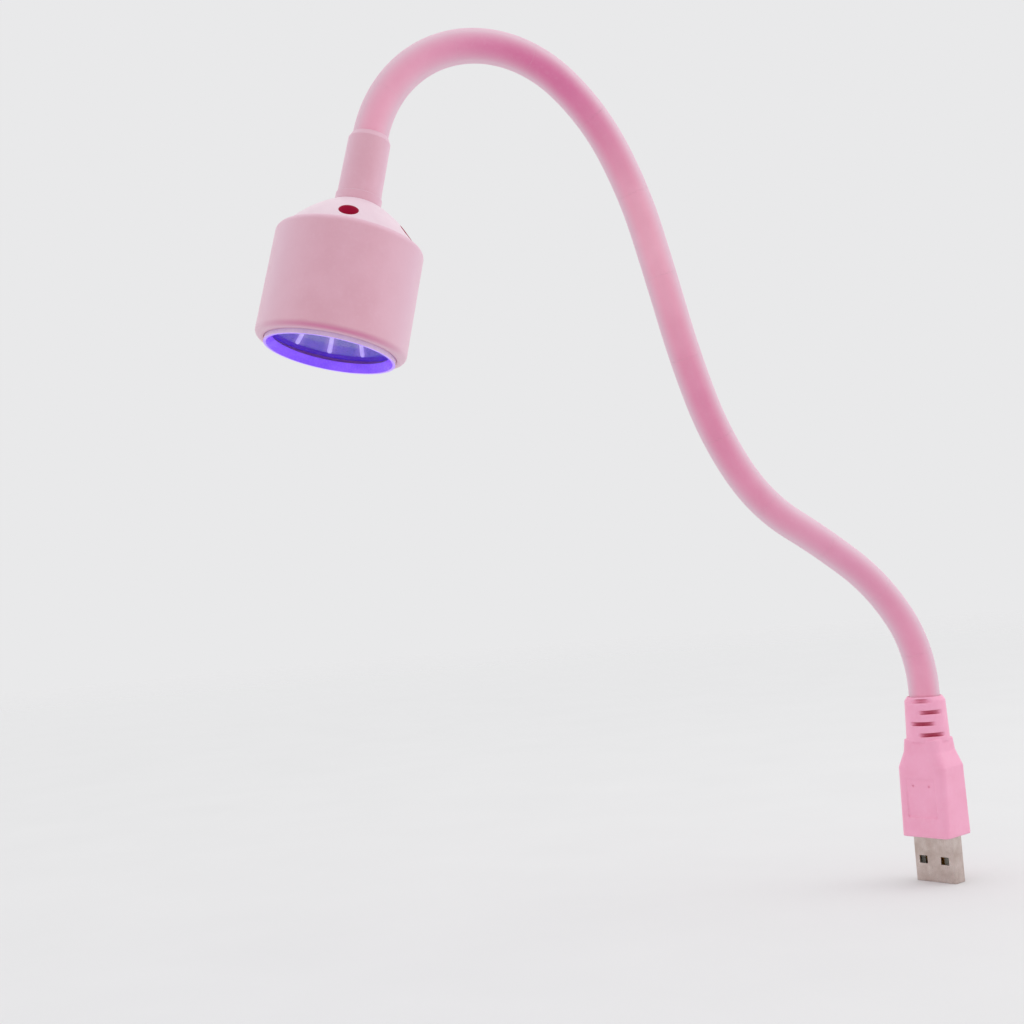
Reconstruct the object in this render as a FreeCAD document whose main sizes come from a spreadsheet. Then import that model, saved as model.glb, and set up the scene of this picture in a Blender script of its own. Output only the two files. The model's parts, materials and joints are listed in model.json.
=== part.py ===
import FreeCAD, Part
import math
import os

import Sketcher
from FreeCAD import Placement, Rotation, Vector

# Ultraviolet curing lamp: a USB-A plug, a gooseneck and a cup-shaped lamp head.
# Origin: centre of the plug's mating face. +Z runs up the plug, the shell points to -Z,
# and the neck bends in the XZ plane, so the head hangs over -X. Millimetres.

DRIVING = [
    ("plug_turn", 13.0, "turn of the plug about Z, degrees"),
    # USB-A plug
    ("shell_width", 12.0, "metal shell, along the wide axis"),
    ("shell_depth", 4.5, "metal shell, across the wide axis"),
    ("shell_reach", 12.0, "shell below the mating face"),
    ("shell_buried", 6.0, "shell inside the overmould"),
    ("shell_wall", 0.3, "sheet thickness of the shell"),
    ("shell_corner", 0.7, "outer corner radius of the shell"),
    ("window_width", 2.4, "latch window, along the wide axis"),
    ("window_height", 2.0, "latch window, along Z"),
    ("window_pitch", 6.4, "between the two windows of a face"),
    ("window_drop", 6.4, "mating face to window centre"),
    ("tongue_width", 11.1, "insulator tongue"),
    ("tongue_thick", 1.84, "insulator tongue"),
    ("tongue_reach", 11.6, "tongue below the mating face"),
    ("tongue_root", 2.5, "solid root of the tongue below the mating face"),
    ("tongue_play", 0.05, "gap between the tongue and the shell"),
    ("tongue_pocket", 2.0, "depth of the wire pocket in the tongue's root"),
    ("contact_thick", 0.25, "contact strip"),
    ("contact_width", 1.0, "contact strip"),
    ("contact_inner", 1.0, "inner contacts, from the middle"),
    ("contact_outer", 3.5, "outer contacts, from the middle"),
    ("inner_short", 2.0, "inner contacts, short of the tongue's tip"),
    ("outer_short", 1.0, "outer contacts, short of the tongue's tip"),
    # overmould
    ("body_width", 14.0, "overmould at the mating face, wide axis"),
    ("body_depth", 11.4, "overmould at the mating face, across"),
    ("top_depth", 10.7, "overmould under its shoulder, across"),
    ("body_height", 17.8, "mating face to the shoulder"),
    ("tier_base", 21.8, "height of the tier's lower edge"),
    ("tier_base_width", 10.9, "tier at its lower edge, wide axis"),
    ("tier_base_depth", 10.3, "tier at its lower edge, across"),
    ("tier_top", 25.0, "height of the tier's upper edge"),
    ("tier_width", 10.4, "tier at its upper edge, wide axis"),
    ("tier_depth", 10.0, "tier at its upper edge, across"),
    ("foot_corner", 1.5, "corner radius at the mating face"),
    ("shoulder_corner", 1.8, "corner radius under the shoulder"),
    ("tier_base_corner", 2.4, "corner radius at the tier's lower edge"),
    ("tier_corner", 2.6, "corner radius at the tier's upper edge"),
    ("panel_width", 8.7, "recessed panel on each wide face"),
    ("panel_height", 10.0, "recessed panel on each wide face"),
    ("panel_centre", 10.0, "height of the panel's centre"),
    ("panel_floor", 5.24, "plug axis to the panel's floor"),
    ("dimple_radius", 0.35, "mould dimple"),
    ("dimple_depth", 0.3, "mould dimple"),
    ("dimple_pitch", 4.8, "between the two mould dimples"),
    ("dimple_height", 13.1, "height of the mould dimples"),
    ("relief_low", 5.55, "strain relief radius at its foot"),
    ("relief_high", 5.2, "strain relief radius below its cone"),
    ("relief_overlap", 0.6, "strain relief inside the tier"),
    ("relief_shoulder", 34.9, "height where the strain relief's cone starts"),
    ("relief_mouth", 4.45, "strain relief radius at its mouth"),
    ("mouth_height", 36.0, "height of the strain relief's mouth"),
    ("slot_first", 26.3, "height of the lowest slot"),
    ("slot_pitch", 2.9, "between slots"),
    ("slot_height", 0.95, "slot opening"),
    ("slot_floor", 4.2, "plug axis to the flat floor of a slot"),
    ("slot_middle", 214.5, "mean azimuth of the slots, degrees"),
    ("slot_swing", 13.3, "each slot from the mean azimuth, degrees"),
    ("mould_width", 11.0, "inner mould, wide axis"),
    ("mould_depth", 7.4, "inner mould, across"),
    ("mould_top", 15.0, "height of the inner mould's top"),
    ("mould_bore", 1.6, "wire passage radius in the inner mould"),
    # gooseneck
    ("neck_radius", 3.93, "pink sleeve, outside"),
    ("sleeve_bore", 3.35, "pink sleeve, inside"),
    ("sleeve_foot", 20.0, "height where the base sleeve starts"),
    ("flange_radius", 4.9, "lower ferrule's flange"),
    ("flange_thick", 1.5, "lower ferrule's flange"),
    ("first_hinge", 37.5, "height of the first ball"),
    ("link_length", 20.8, "hinge to hinge, along the arc"),
    ("hinge_gap", 0.9, "hinge to the end of a sleeve segment"),
    ("core_gap", 1.2, "hinge to the end of the core above it"),
    ("neck_of_ball", 4.2, "hinge to the start of the thick core"),
    ("ball_radius", 2.6, "ball of a core link"),
    ("ball_clearance", 0.05, "radial play in the socket"),
    ("stalk_radius", 1.5, "stalk behind a ball"),
    ("socket_radius", 3.2, "socket, outside"),
    ("socket_mouth", 57.0, "half angle of the socket's mouth, degrees"),
    ("core_bore", 1.05, "wire passage in the core"),
    ("wire_radius", 0.44, "one wire with its jacket"),
    ("wire_pitch", 0.98, "between the two wires"),
    ("wire_tail", 1.5, "wires inside the tongue's root"),
    ("foot_first", 34.5, "turn of the first link, degrees"),
    ("foot_last", 5.5, "turn of the third link"),
    ("back_first", -25.0, "turn of the fourth link, the other way"),
    ("back_last", -5.5, "turn of the sixth link"),
    ("rise_first", 1.2, "turn of the seventh link"),
    ("rise_last", 23.0, "turn of the ninth link"),
    ("crook_first", 38.4, "turn of the tenth link"),
    ("crook_last", 37.5, "turn of the twelfth link"),
    # lamp head, measured from the end of the neck along the head's axis
    ("collar_top", 4.68, "collar radius below its bevel"),
    ("collar_foot", 4.84, "collar radius above its step"),
    ("collar_flange", 5.12, "collar radius below its step"),
    ("collar_length", 16.25, "collar"),
    ("collar_step", 14.2, "neck end to the step on the collar"),
    ("collar_lip", 4.1, "collar radius at its upper edge"),
    ("collar_bevel", 1.2, "length of the bevel under the upper edge"),
    ("collar_edge", 0.15, "fillet on the collar's step"),
    ("stem_radius", 3.0, "upper ferrule"),
    ("stem_end", 21.6, "neck end to the end of the upper ferrule"),
    ("cap_brow", 5.2, "dome radius at the collar"),
    ("crease_radius", 14.67, "dome radius where it meets the can"),
    ("crease_depth", 24.22, "neck end to the seam of dome and can"),
    ("dome_curve", 27.9, "radius of the dome's profile"),
    ("cap_roof", 17.9, "neck end to the underside of the dome's top"),
    ("cap_roof_radius", 4.9, "flat underside of the dome's top"),
    ("skirt_radius", 13.6, "cap skirt, outside"),
    ("skirt_bore", 12.3, "cap skirt, inside"),
    ("skirt_end", 26.1, "neck end to the end of the skirt"),
    ("vent_radius", 2.15, "vent hole"),
    ("vent_circle", 12.6, "axis to a vent hole"),
    ("vent_depth", 21.85, "neck end to a vent hole's centre"),
    ("vent_slope", 44.0, "tilt of the dome at a vent hole, degrees"),
    ("vent_azimuth", -64.1, "direction of the first vent hole, degrees"),
    ("vent_cut", 6.2, "length of the vent holes' cutter, half of it outside the dome"),
    ("washer_radius", 4.3, "lock washer"),
    ("washer_thick", 0.6, "lock washer"),
    ("nut_corner", 4.55, "nut, axis to corner"),
    ("nut_thick", 2.2, "nut"),
    ("can_radius", 16.25, "can below its shoulder"),
    ("can_foot", 16.49, "can at its mouth"),
    ("can_bore", 14.35, "can, inside"),
    ("can_roof", 25.8, "neck end to the underside of the can's shoulder"),
    ("can_mouth", 49.15, "neck end to the can's mouth"),
    ("inner_round", 0.5, "fillet inside the can's shoulder"),
    ("lip_round", 1.5, "rounding outside the lip"),
    ("lip_inside", 0.15, "rounding inside the lip"),
    ("plate_top", 30.5, "neck end to the heat sink plate"),
    ("plate_thick", 2.0, "heat sink plate"),
    ("plate_radius", 14.3, "heat sink plate"),
    ("fin_top", 26.4, "neck end to the fins' tips"),
    ("fin_thick", 0.8, "heat sink fin"),
    ("fin_pitch", 3.2, "between fins"),
    ("fin_circle", 13.0, "outline of the fins"),
    ("passage", 1.5, "wire passage in the head"),
    ("pad_radius", 9.0, "thermal pad"),
    ("pad_thick", 0.5, "thermal pad"),
    ("board_radius", 13.6, "lamp board"),
    ("board_thick", 1.6, "lamp board"),
    ("screw_circle", 11.2, "axis to a board screw"),
    ("screw_shank", 0.9, "board screw"),
    ("screw_head", 1.7, "board screw"),
    ("screw_head_thick", 1.0, "board screw"),
    ("screw_bite", 1.6, "board screw, depth in the plate"),
    ("screw_azimuth", 90.0, "direction of the first board screw, degrees"),
    ("drive_width", 0.5, "slot in a screw's head"),
    ("drive_floor", 0.5, "board to the floor of a screw's slot"),
    ("chip_side", 3.5, "emitter package"),
    ("chip_thick", 1.1, "emitter package"),
    ("emitter_radius", 1.45, "silicone dome of the emitter"),
    ("resistor_length", 2.0, "chip resistor"),
    ("resistor_width", 1.25, "chip resistor"),
    ("resistor_thick", 0.6, "chip resistor"),
    ("resistor_circle", 7.6, "axis to a chip resistor"),
    ("resistor_azimuth", 30.0, "direction of the first chip resistor, degrees"),
    ("cup_floor", 35.3, "neck end to the reflector's lower rim"),
    ("cup_waist", 39.2, "neck end to the reflector's waist"),
    ("cup_rim", 46.6, "neck end to the reflector's upper rim"),
    ("facet_low", 2.9, "facets' corner radius at the lower rim"),
    ("facet_waist", 8.2, "facets' corner radius at the waist"),
    ("facet_high", 12.7, "facets' corner radius at the upper rim"),
    ("cup_skin", 0.9, "reflector wall"),
    ("cup_flange", 14.2, "reflector flange radius"),
    ("flange_rim", 0.8, "reflector flange thickness"),
    ("gasket_thick", 0.6, "lens gasket"),
    ("lens_thick", 1.0, "front lens"),
    ("lens_radius", 14.2, "front lens"),
    ("bezel_bore", 12.8, "light ring, inside at the lens"),
    ("bezel_flare", 13.75, "light ring, inside at its face"),
    ("bezel_radius", 14.3, "light ring, outside"),
    ("bezel_end", 50.1, "neck end to the face of the light ring"),
]

LINKS = 12
FACETS = 10
VENTS = 5
FINS = 8
SLOTS = 4
SCREWS = 3
RESISTORS = 4
PAST = 1.0  # how far a cutting shape runs past the face it opens
JOIN = 0.3  # how far joined solids run into one another
TIP = 0.01  # radius that stands for a cone's tip, and how far the facets pass the cup's rims

DERIVED = [
    ("origin_row", "=0"),
    ("turn_01", "=foot_first"),
    ("turn_02", "=(foot_first + foot_last) / 2"),
    ("turn_03", "=foot_last"),
    ("turn_04", "=back_first"),
    ("turn_05", "=(back_first + back_last) / 2"),
    ("turn_06", "=back_last"),
    ("turn_07", "=rise_first"),
    ("turn_08", "=(rise_first + rise_last) / 2"),
    ("turn_09", "=rise_last"),
    ("turn_10", "=crook_first"),
    ("turn_11", "=(crook_first + crook_last) / 2"),
    ("turn_12", "=crook_last"),
    ("foot_half_width", "=body_width / 2"),
    ("foot_half_depth", "=body_depth / 2"),
    ("shoulder_half_width", "=body_width / 2"),
    ("shoulder_half_depth", "=top_depth / 2"),
    ("tier_base_half_width", "=tier_base_width / 2"),
    ("tier_base_half_depth", "=tier_base_depth / 2"),
    ("tier_half_width", "=tier_width / 2"),
    ("tier_half_depth", "=tier_depth / 2"),
    ("foot_flat_width", "=foot_half_width - foot_corner"),
    ("foot_flat_depth", "=foot_half_depth - foot_corner"),
    ("shoulder_flat_width", "=shoulder_half_width - shoulder_corner"),
    ("shoulder_flat_depth", "=shoulder_half_depth - shoulder_corner"),
    ("tier_base_flat_width", "=tier_base_half_width - tier_base_corner"),
    ("tier_base_flat_depth", "=tier_base_half_depth - tier_base_corner"),
    ("tier_flat_width", "=tier_half_width - tier_corner"),
    ("tier_flat_depth", "=tier_half_depth - tier_corner"),
    ("relief_foot", "=tier_top - relief_overlap"),
    ("flange_top", "=mould_top + flange_thick"),
    ("bore_end", f"=mouth_height + {PAST}"),
    ("socket_bore", "=ball_radius + ball_clearance"),
    ("stem_hole", "=stem_radius"),
    ("pad_top", "=plate_top + plate_thick"),
    ("board_top", "=pad_top + pad_thick"),
    ("board_face", "=board_top + board_thick"),
    ("cup_outer_low", "=facet_low + cup_skin"),
    ("cup_outer_waist", "=facet_waist + cup_skin"),
    ("cup_outer_high", "=facet_high + cup_skin"),
    ("cup_flange_top", "=cup_rim - flange_rim"),
    ("cup_waist_outer", "=cup_waist - cup_skin / 3"),
    ("lens_top", "=cup_rim + gasket_thick"),
    ("bezel_top", "=lens_top + lens_thick"),
]

doc = FreeCAD.newDocument("uv_curing_lamp")
sheet = doc.addObject("Spreadsheet::Sheet", "Sheet")
rows = [(name, str(number), note) for name, number, note in DRIVING]
rows += [(name, formula, "worked out") for name, formula in DERIVED]
for row, (name, content, note) in enumerate(rows, start=1):
    sheet.set(f"A{row}", note)
    sheet.set(f"B{row}", content)
    sheet.setAlias(f"B{row}", name)
doc.recompute()


def size(name):
    """The number a sheet row holds."""
    return float(sheet.get(name))


def bind(thing, **formulas):
    """Bind properties to the sheet. A formula names sheet rows with a leading $."""
    for name, formula in formulas.items():
        thing.setExpression(name, formula.replace("$", "Sheet."))
    return thing


def solid(kind, name, where=None, **formulas):
    """A Part primitive with its dimensions bound to the sheet."""
    thing = bind(doc.addObject("Part::" + kind, name), **formulas)
    thing.Placement = where or Placement()
    return thing


def joined(name, pieces):
    """The union of the pieces, which is the piece itself when there is only one."""
    if len(pieces) == 1:
        return pieces[0]
    thing = doc.addObject("Part::MultiFuse", name)
    thing.Shapes = pieces
    return thing


def less(name, base, tool):
    thing = doc.addObject("Part::Cut", name)
    thing.Base = base
    thing.Tool = tool
    return thing


def lift(height, x=0.0, y=0.0):
    return Placement(Vector(x, y, height), Rotation())


def about_z(degrees):
    return Placement(Vector(), Rotation(Vector(0, 0, 1), degrees))


def tube(name, outer, inner, low, high):
    """A ring along Z between two heights. Arguments are formulas, low and high sheet rows."""
    height = f"${high} - ${low}"
    body = solid("Cylinder", name + "_outside", lift(size(low)), Radius=outer, Height=height)
    where = lift(size(low) - PAST)
    hole = solid("Cylinder", name + "_hole", where, Radius=inner, Height=f"{height} + {2 * PAST}")
    return less(name, body, hole)


def new_body(name):
    return doc.addObject("PartDesign::Body", name)


def plane_of(body, role):
    return [item for item in body.Origin.OriginFeatures if item.Role == role][0]


def sketch_on(body, role, name, height=None):
    """A sketch on one of the body's own planes, optionally raised to a sheet row's height."""
    sketch = body.newObject("Sketcher::SketchObject", name)
    sketch.AttachmentSupport = [(plane_of(body, role), "")]
    sketch.MapMode = "FlatFace"
    if height:
        bind(sketch, **{".AttachmentOffset.Base.z": f"${height}"})
    return sketch


def coordinate(name):
    if name == "0":
        return 0.0
    return -size(name[1:]) if name.startswith("-") else size(name)


def arc_between(start, end, radius):
    """An arc from start to end that bulges to the right of the direction of travel."""
    chord = end.sub(start)
    half = chord.Length / 2
    rise = radius - math.sqrt(radius**2 - half**2)
    right = Vector(chord.y, -chord.x, 0).normalize()
    middle = start.add(end).multiply(0.5).add(right.multiply(rise))
    return Part.Arc(start, middle, end)


def outline(sketch, corners, arcs=None):
    """A closed outline through corners given as pairs of sheet rows, each corner bound to them.

    arcs maps the number of a side to the sheet row with its radius."""
    arcs = arcs or {}
    points = [Vector(coordinate(x), coordinate(y), 0) for x, y in corners]
    for side, start in enumerate(points):
        end = points[(side + 1) % len(points)]
        if side in arcs:
            sketch.addGeometry(arc_between(start, end, size(arcs[side])), False)
        else:
            sketch.addGeometry(Part.LineSegment(start, end), False)
    begins = []
    for side, start in enumerate(points):
        forwards = sketch.Geometry[side].StartPoint.distanceToPoint(start) < 1e-6
        begins.append(1 if forwards else 2)
    for side in range(len(points)):
        following = (side + 1) % len(points)
        sketch.addConstraint(
            Sketcher.Constraint("Coincident", side, 3 - begins[side], following, begins[following])
        )
    for side, pair in enumerate(corners):
        for kind, name, axis in (("DistanceX", pair[0], -2), ("DistanceY", pair[1], -1)):
            vertex = begins[side]
            if name == "0":
                sketch.addConstraint(Sketcher.Constraint("PointOnObject", side, vertex, axis))
                continue
            ends = (side, vertex, -1, 1) if name.startswith("-") else (-1, 1, side, vertex)
            row = name.lstrip("-")
            number = sketch.addConstraint(Sketcher.Constraint(kind, *ends, size(row)))
            bind(sketch, **{f"Constraints[{number}]": f"${row}"})
    for side, row in arcs.items():
        number = sketch.addConstraint(Sketcher.Constraint("Radius", side, size(row)))
        bind(sketch, **{f"Constraints[{number}]": f"${row}"})
    return sketch


def revolved(body, name, corners, arcs=None, cutting=False):
    """Turn an outline of radius and height pairs about the body's Z axis."""
    sketch = outline(sketch_on(body, "XZ_Plane", name + "_outline"), corners, arcs)
    kind = "PartDesign::Groove" if cutting else "PartDesign::Revolution"
    feature = body.newObject(kind, name)
    feature.Profile = sketch
    feature.ReferenceAxis = (sketch, ["V_Axis"])
    feature.Angle = 360.0
    doc.recompute()
    return feature


def edges_where(feature, wanted):
    edges = enumerate(feature.Shape.Edges, start=1)
    return [f"Edge{number}" for number, edge in edges if wanted(edge)]


def rounded(body, feature, name, wanted, formula):
    """Fillet the edges of a feature that a test picks out."""
    fillet = body.newObject("PartDesign::Fillet", name)
    fillet.Base = (feature, edges_where(feature, wanted))
    bind(fillet, Radius=formula)
    doc.recompute()
    return fillet


def ring_edge(radius, height):
    """A test for the circular edge of one radius at one height."""

    def wanted(edge):
        circle = edge.Curve
        if not isinstance(circle, Part.Circle):
            return False
        return abs(circle.Radius - radius) < 1e-4 and abs(circle.Center.z - height) < 1e-4

    return wanted


def box_cut(body, name, where, **formulas):
    """A box taken out of the body, with its lowest corner at where's origin."""
    feature = body.newObject("PartDesign::SubtractiveBox", name)
    bind(feature, **formulas)
    feature.Placement = where
    return feature


def cylinder_cut(body, name, where, **formulas):
    feature = body.newObject("PartDesign::SubtractiveCylinder", name)
    bind(feature, **formulas)
    feature.Placement = where
    return feature


# ---------------------------------------------------------------- plug

plug_frame = about_z(size("plug_turn"))


def rounded_rectangle(name):
    """Corners and corner arcs of a section whose sheet rows start with its name."""
    far_x, far_y = name + "_half_depth", name + "_half_width"
    near_x, near_y = name + "_flat_depth", name + "_flat_width"
    corners = [
        (far_x, "-" + near_y),
        (far_x, near_y),
        (near_x, far_y),
        ("-" + near_x, far_y),
        ("-" + far_x, near_y),
        ("-" + far_x, "-" + near_y),
        ("-" + near_x, "-" + far_y),
        (near_x, "-" + far_y),
    ]
    return corners, {side: name + "_corner" for side in (1, 3, 5, 7)}


def build_overmould():
    """Soft body of the plug with a sloping shoulder, a tier and a slotted strain relief."""
    body = new_body("plug_overmould")
    sections = []
    for name, height in (
        ("foot", None),
        ("shoulder", "body_height"),
        ("tier_base", "tier_base"),
        ("tier", "tier_top"),
    ):
        section = sketch_on(body, "XY_Plane", "overmould_" + name, height)
        sections.append(outline(section, *rounded_rectangle(name)))
    doc.recompute()
    loft = body.newObject("PartDesign::AdditiveLoft", "overmould_loft")
    loft.Profile = sections[0]
    loft.Sections = sections[1:]
    loft.Ruled = True
    doc.recompute()
    revolved(
        body,
        "strain_relief",
        [
            ("0", "relief_foot"),
            ("relief_low", "relief_foot"),
            ("relief_high", "relief_shoulder"),
            ("relief_mouth", "mouth_height"),
            ("0", "mouth_height"),
        ],
    )
    revolved(
        body,
        "neck_socket",
        [
            ("0", "mould_top"),
            ("flange_radius", "mould_top"),
            ("flange_radius", "flange_top"),
            ("sleeve_bore", "flange_top"),
            ("sleeve_bore", "sleeve_foot"),
            ("neck_radius", "sleeve_foot"),
            ("neck_radius", "bore_end"),
            ("0", "bore_end"),
        ],
        cutting=True,
    )
    box_cut(
        body,
        "shell_pocket",
        lift(-PAST, -size("shell_depth") / 2, -size("shell_width") / 2),
        Length="$shell_depth",
        Width="$shell_width",
        Height=f"$shell_buried + {PAST}",
    )
    box_cut(
        body,
        "mould_pocket",
        lift(size("shell_buried"), -size("mould_depth") / 2, -size("mould_width") / 2),
        Length="$mould_depth",
        Width="$mould_width",
        Height="$mould_top - $shell_buried",
    )
    for side in (0, 180):
        low = size("panel_centre") - size("panel_height") / 2
        box_cut(
            body,
            f"panel_{side}",
            about_z(side) * lift(low, size("panel_floor"), -size("panel_width") / 2),
            Length="$foot_half_depth",
            Width="$panel_width",
            Height="$panel_height",
        )
        for number in (-1, 1):
            middle = Vector(
                size("panel_floor") - size("dimple_depth"),
                number * size("dimple_pitch") / 2,
                size("dimple_height"),
            )
            cylinder_cut(
                body,
                f"dimple_{side}_{number + 1}",
                about_z(side) * Placement(middle, Rotation(Vector(0, 1, 0), 90)),
                Radius="$dimple_radius",
                Height="$foot_half_depth",
            )
    for ring in range(SLOTS):
        swing = size("slot_swing") if ring % 2 == 0 else -size("slot_swing")
        height = size("slot_first") + ring * size("slot_pitch")
        for side in (0, 180):
            turn = about_z(size("slot_middle") + swing + side)
            box_cut(
                body,
                f"slot_{ring}_{side}",
                turn * lift(height - size("slot_height") / 2, size("slot_floor"), -size("relief_low")),
                Length="$relief_low",
                Width="2 * $relief_low",
                Height="$slot_height",
            )
    body.Placement = plug_frame
    return body


def build_shell():
    """Open rectangular tube with two latch windows in each wide face."""
    body = new_body("usb_shell")
    length = "$shell_reach + $shell_buried"
    block = bind(
        body.newObject("PartDesign::AdditiveBox", "shell_block"),
        Length="$shell_depth",
        Width="$shell_width",
        Height=length,
    )
    block.Placement = lift(-size("shell_reach"), -size("shell_depth") / 2, -size("shell_width") / 2)
    doc.recompute()

    def upright(edge):
        return edge.BoundBox.ZLength > size("shell_reach")

    rounded(body, block, "shell_corners", upright, "$shell_corner")
    wall = size("shell_wall")
    box_cut(
        body,
        "shell_hollow",
        lift(-size("shell_reach") - PAST, wall - size("shell_depth") / 2, wall - size("shell_width") / 2),
        Length="$shell_depth - 2 * $shell_wall",
        Width="$shell_width - 2 * $shell_wall",
        Height=f"{length} + {2 * PAST}",
    )
    for side in (-1, 1):
        middle = side * size("window_pitch") / 2
        low = -size("window_drop") - size("window_height") / 2
        box_cut(
            body,
            f"windows_{side + 1}",
            lift(low, -size("shell_depth"), middle - size("window_width") / 2),
            Length="2 * $shell_depth",
            Width="$window_width",
            Height="$window_height",
        )
    body.Placement = plug_frame
    return body


def build_tongue():
    """Insulator: a tongue along one wide wall of the shell and the root block behind it."""
    inner_depth = size("shell_depth") / 2 - size("shell_wall")
    play = size("tongue_play")
    face = inner_depth - play - size("tongue_thick")
    tongue = solid(
        "Box",
        "tongue_blade",
        lift(-size("tongue_reach"), face, -size("tongue_width") / 2),
        Length="$tongue_thick",
        Width="$tongue_width",
        Height="$tongue_reach",
    )
    root = solid(
        "Box",
        "tongue_block",
        lift(-size("tongue_root"), play - inner_depth, -size("tongue_width") / 2),
        Length="$shell_depth - 2 * $shell_wall - 2 * $tongue_play",
        Width="$tongue_width",
        Height="$tongue_root + $shell_buried",
    )
    whole = joined("tongue_whole", [tongue, root])
    hole = solid(
        "Cylinder",
        "tongue_passage",
        lift(size("shell_buried") - size("tongue_pocket")),
        Radius="$core_bore",
        Height=f"$tongue_pocket + {PAST}",
    )
    piece = less("usb_tongue", whole, hole)
    piece.Placement = plug_frame
    return piece


def build_contacts():
    """Four strips on the tongue: two long outer ones and two shorter inner ones."""
    inner_depth = size("shell_depth") / 2 - size("shell_wall")
    face = inner_depth - size("tongue_play") - size("tongue_thick")
    strips = []
    for row, short in (("contact_inner", "inner_short"), ("contact_outer", "outer_short")):
        for side in (-1, 1):
            low = size(short) - size("tongue_reach")
            where = lift(
                low,
                face - size("contact_thick"),
                side * size(row) - size("contact_width") / 2,
            )
            strips.append(
                solid(
                    "Box",
                    f"{row}_{side + 1}",
                    where,
                    Length="$contact_thick",
                    Width="$contact_width",
                    Height=f"$tongue_reach - $tongue_root - ${short}",
                )
            )
    piece = joined("usb_contacts", strips)
    piece.Placement = plug_frame
    return piece


def build_inner_mould():
    """Hard block that holds the shell and the wires inside the overmould."""
    block = solid(
        "Box",
        "inner_mould_block",
        lift(size("shell_buried"), -size("mould_depth") / 2, -size("mould_width") / 2),
        Length="$mould_depth",
        Width="$mould_width",
        Height="$mould_top - $shell_buried",
    )
    hole = solid(
        "Cylinder",
        "inner_mould_passage",
        lift(size("shell_buried") - PAST),
        Radius="$mould_bore",
        Height=f"$mould_top - $shell_buried + {2 * PAST}",
    )
    piece = less("inner_mould", block, hole)
    piece.Placement = plug_frame
    return piece


def build_lower_ferrule():
    """Flanged steel tube in the strain relief, ending in the socket of the first ball."""
    hinge = lift(size("first_hinge"))
    flange = solid(
        "Cylinder",
        "ferrule_flange",
        lift(size("mould_top")),
        Radius="$flange_radius",
        Height="$flange_thick",
    )
    stem = solid(
        "Cylinder",
        "ferrule_stem",
        lift(size("mould_top")),
        Radius="$sleeve_bore",
        Height="$first_hinge - $core_gap - $mould_top",
    )
    ball = solid("Sphere", "ferrule_socket", hinge, Radius="$socket_radius")
    whole = joined("ferrule_whole", [flange, stem, ball])
    passage = solid(
        "Cylinder",
        "ferrule_passage",
        lift(size("mould_top") - PAST),
        Radius="$core_bore",
        Height=f"$first_hinge - $mould_top + {PAST}",
    )
    tool = joined("ferrule_cutters", [passage] + socket_cutters("ferrule", hinge))
    return less("lower_ferrule", whole, tool)


# ---------------------------------------------------------------- gooseneck


def socket_cutters(name, hinge):
    """The hollow of a socket and the cone that opens its mouth upwards."""
    hollow = solid("Sphere", name + "_hollow", hinge, Radius="$socket_bore")
    mouth = solid(
        "Cone",
        name + "_mouth",
        hinge,
        Radius1=str(TIP),
        Radius2="2 * $socket_radius * tan($socket_mouth * 1deg)",
        Height="2 * $socket_radius",
    )
    return [hollow, mouth]


def turn_of(number):
    return size(f"turn_{number:02d}")


def neck_frames():
    """Frame of each hinge and of the neck's end: +Z runs along the neck."""
    point = Vector(0, 0, size("first_hinge"))
    heading = 0.0
    frames = []
    for number in range(1, LINKS + 2):
        frames.append(Placement(point, Rotation(Vector(0, 1, 0), -heading)))
        if number > LINKS:
            break
        turned = math.radians(turn_of(number))
        radius = size("link_length") / turned
        start = math.radians(heading)
        step = Vector(
            radius * (math.cos(start + turned) - math.cos(start)),
            0,
            radius * (math.sin(start + turned) - math.sin(start)),
        )
        point = point.add(step)
        heading += turn_of(number)
    return frames


def bend(name, number, radius, start, end, start_value):
    """A curved bar along one link, from start to end millimetres past its hinge.

    It bends towards the link's -X. start and end are formulas, start_value is start's number."""
    row = f"$turn_{number:02d}"
    turned = abs(turn_of(number))
    centre = Vector(-size("link_length") / math.radians(turned), 0, 0)
    upright = Placement(centre, Rotation(Vector(1, 0, 0), 90))
    return solid(
        "Torus",
        name,
        upright * about_z(start_value / size("link_length") * turned),
        Radius1=f"$link_length * 180 / (pi * abs({row}))",
        Radius2=radius,
        Angle3=f"({end} - ({start})) / $link_length * abs({row})",
    )


def link_frame(frame, number):
    """A link's frame, faced so that its bend goes to its own -X."""
    return frame if turn_of(number) > 0 else frame * about_z(180)


def build_core(number, frame):
    """Steel link: a ball at its hinge, a stalk, a thick curved bar and the next socket."""
    name = f"neck_link_{number:02d}"
    last = number == LINKS
    ball = solid("Sphere", name + "_ball", Radius="$ball_radius")
    stalk_end = f"$neck_of_ball + {JOIN}"
    stalk = bend(name + "_stalk", number, "$stalk_radius", "0", stalk_end, 0.0)
    end = "$link_length" if last else "$link_length - $core_gap"
    bar = bend(name + "_bar", number, "$sleeve_bore", "$neck_of_ball", end, size("neck_of_ball"))
    pieces = [ball, stalk, bar]
    passage = bend(
        name + "_passage",
        number,
        "$core_bore",
        "-$neck_of_ball",
        "$link_length + $neck_of_ball",
        -size("neck_of_ball"),
    )
    cutters = [passage]
    if not last:
        angle = abs(turn_of(number))
        reach = -size("link_length") / math.radians(angle)
        pivot = Placement(Vector(reach, 0, 0), Rotation())
        swing = Placement(Vector(), Rotation(Vector(0, 1, 0), -angle))
        far = pivot * swing * pivot.inverse()
        pieces.append(solid("Sphere", name + "_socket", far, Radius="$socket_radius"))
        cutters += socket_cutters(name, far)
    whole = joined(name + "_whole", pieces)
    piece = less(name, whole, joined(name + "_cutters", cutters))
    piece.Placement = link_frame(frame, number)
    return piece


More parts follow.
